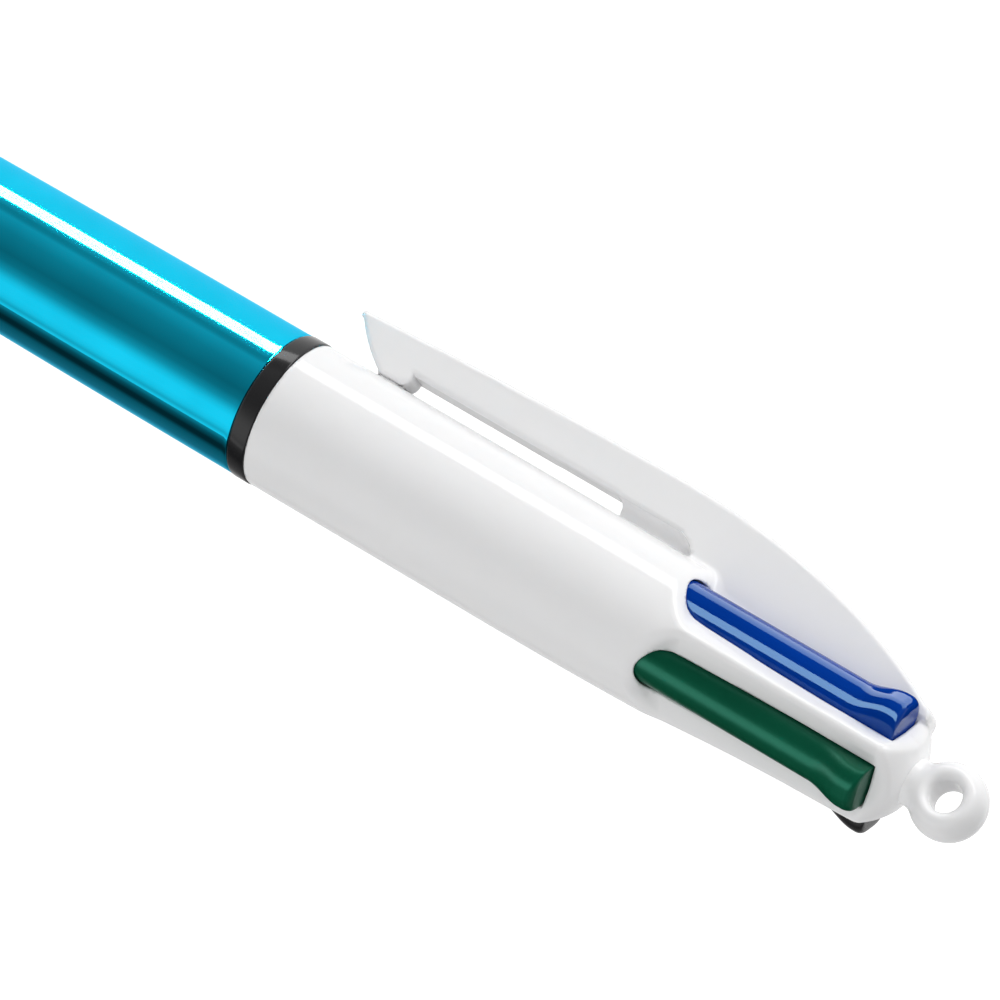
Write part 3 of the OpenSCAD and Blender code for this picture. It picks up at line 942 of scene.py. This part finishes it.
def emitter(name, build, clear=False):
    """A material that gives off light, and can let what lies behind it show through."""
    material = bpy.data.materials.new(name)
    material.use_nodes = True
    tree = material.node_tree
    tree.nodes.clear()
    output = tree.nodes.new("ShaderNodeOutputMaterial")
    glow = tree.nodes.new("ShaderNodeEmission")
    build(tree, glow)
    if clear:
        both = tree.nodes.new("ShaderNodeAddShader")
        window = tree.nodes.new("ShaderNodeBsdfTransparent")
        tree.links.new(glow.outputs["Emission"], both.inputs[0])
        tree.links.new(window.outputs["BSDF"], both.inputs[1])
        tree.links.new(both.outputs["Shader"], output.inputs["Surface"])
    else:
        tree.links.new(glow.outputs["Emission"], output.inputs["Surface"])
    return material


def tent_gradient(tree, glow):
    """Strength follows the azimuth through a colour ramp."""
    place = tree.nodes.new("ShaderNodeTexCoord")
    parts = tree.nodes.new("ShaderNodeSeparateXYZ")
    angle = tree.nodes.new("ShaderNodeMath")
    angle.operation = "ARCTAN2"
    turn = tree.nodes.new("ShaderNodeMath")
    turn.operation = "MULTIPLY"
    turn.inputs[1].default_value = 1 / (2 * math.pi)
    wrap = tree.nodes.new("ShaderNodeMath")
    wrap.operation = "FRACT"
    ramp = tree.nodes.new("ShaderNodeValToRGB")
    ramp.color_ramp.interpolation = "LINEAR"
    stops = sorted(TENT) + [(360, TENT[0][1])]
    for n, (azimuth, level) in enumerate(stops):
        spots = ramp.color_ramp.elements
        spot = spots[n] if n < 1 else spots.new(azimuth / 360)
        spot.position = azimuth / 360
        spot.color = (level, level, level, 1)
    spots.remove(spots[-1])
    tree.links.new(place.outputs["Object"], parts.inputs["Vector"])
    tree.links.new(parts.outputs["Y"], angle.inputs[0])
    tree.links.new(parts.outputs["X"], angle.inputs[1])
    tree.links.new(angle.outputs["Value"], turn.inputs[0])
    tree.links.new(turn.outputs["Value"], wrap.inputs[0])
    tree.links.new(wrap.outputs["Value"], ramp.inputs["Fac"])
    tree.links.new(ramp.outputs["Color"], glow.inputs["Strength"])


def wall(name, radius, start, end, low, high, sides):
    """Part of an upright cylinder around the pen."""
    angles = np.radians(np.linspace(start, end, sides + 1))
    points = []
    for a in angles:
        points.append((radius * math.cos(a), radius * math.sin(a), low))
        points.append((radius * math.cos(a), radius * math.sin(a), high))
    faces = [[2 * n, 2 * n + 1, 2 * n + 3, 2 * n + 2] for n in range(sides)]
    thing = add_mesh(name, points, faces)
    thing.visible_camera = False
    thing.visible_diffuse = False
    thing.visible_shadow = False
    thing.visible_transmission = False
    thing.visible_volume_scatter = False
    return thing


def shine_on(light, pieces, state):
    """Makes a light reach only the named pieces, or all but them."""
    receivers = bpy.data.collections.new(f"{light.name}_receivers")
    for piece in pieces:
        receivers.objects.link(bpy.data.objects[piece])
    for member in receivers.collection_objects:
        member.light_linking.link_state = state
    light.light_linking.receiver_collection = receivers


def add_tent():
    """What glossy surfaces mirror: a softly graded tent and a few narrow strips."""
    tent = wall("tent", TENT_R, 0, 360, TENT_LOW, TENT_HIGH, 180)
    tent.data.materials.append(emitter("tent_glow", tent_gradient))
    shine_on(tent, ["slider_blue_rod", "slider_green_rod"], "EXCLUDE")
    for n, (name, (azimuth, half, brightness, pieces)) in enumerate(STRIPS.items()):

        def steady(tree, glow, brightness=brightness):
            glow.inputs["Strength"].default_value = brightness

        radius = TENT_R - 2 - 2 * n  # the strips stand one inside the other
        strip = wall(name, radius, azimuth - half, azimuth + half, TENT_LOW, TENT_HIGH, 12)
        strip.data.materials.append(emitter(f"{name}_glow", steady, clear=True))
        shine_on(strip, pieces, "INCLUDE")


def add_light(name, azimuth, elevation, distance, size, power):
    """A soft square light aimed above the pen's middle; it lights but isn't mirrored."""
    a, e = math.radians(azimuth), math.radians(elevation)
    back = Vector((math.cos(a) * math.cos(e), math.sin(a) * math.cos(e), math.sin(e)))
    light = bpy.data.lights.new(name, "AREA")
    light.shape = "SQUARE"
    light.size = size
    light.energy = power
    thing = bpy.data.objects.new(name, light)
    bpy.context.scene.collection.objects.link(thing)
    thing.location = Vector((0, 0, 0.1)) + back * distance
    thing.rotation_mode = "QUATERNION"
    thing.rotation_quaternion = back.to_track_quat("Z", "Y")
    thing.visible_camera = False
    thing.visible_glossy = False


def add_room():
    """A plain white room, darker overhead for everything but the camera."""
    world = bpy.data.worlds.new("studio")
    bpy.context.scene.world = world
    world.use_nodes = True
    tree = world.node_tree
    background = tree.nodes["Background"]
    background.inputs["Color"].default_value = (1, 1, 1, 1)
    place = tree.nodes.new("ShaderNodeTexCoord")
    parts = tree.nodes.new("ShaderNodeSeparateXYZ")
    height = tree.nodes.new("ShaderNodeMapRange")
    height.inputs["From Min"].default_value = 0.1
    height.inputs["From Max"].default_value = 0.9
    height.inputs["To Min"].default_value = HORIZON
    height.inputs["To Max"].default_value = ZENITH
    mix = tree.nodes.new("ShaderNodeMix")
    path = tree.nodes.new("ShaderNodeLightPath")
    mix.inputs["B"].default_value = 1.0
    tree.links.new(place.outputs["Generated"], parts.inputs["Vector"])
    tree.links.new(parts.outputs["Z"], height.inputs["Value"])
    tree.links.new(path.outputs["Is Camera Ray"], mix.inputs["Factor"])
    tree.links.new(height.outputs["Result"], mix.inputs["A"])
    tree.links.new(mix.outputs["Result"], background.inputs["Strength"])


def add_studio():
    add_room()
    add_floor()
    add_tent()
    add_light("key_soft", azimuth=205, elevation=25, distance=0.8, size=0.5, power=3.0)
    add_light("fill_low", azimuth=20, elevation=5, distance=0.7, size=0.35, power=0.8)
    bpy.context.scene.view_settings.view_transform = "Standard"
    bpy.context.scene.view_settings.look = "None"


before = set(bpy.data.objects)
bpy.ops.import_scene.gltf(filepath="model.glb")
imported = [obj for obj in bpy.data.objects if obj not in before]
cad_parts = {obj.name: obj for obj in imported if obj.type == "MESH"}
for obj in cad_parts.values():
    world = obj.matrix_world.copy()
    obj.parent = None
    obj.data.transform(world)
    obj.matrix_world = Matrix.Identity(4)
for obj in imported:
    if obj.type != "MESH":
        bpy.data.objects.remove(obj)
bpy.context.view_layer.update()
build_pen(make_materials())
add_studio()
add_camera()
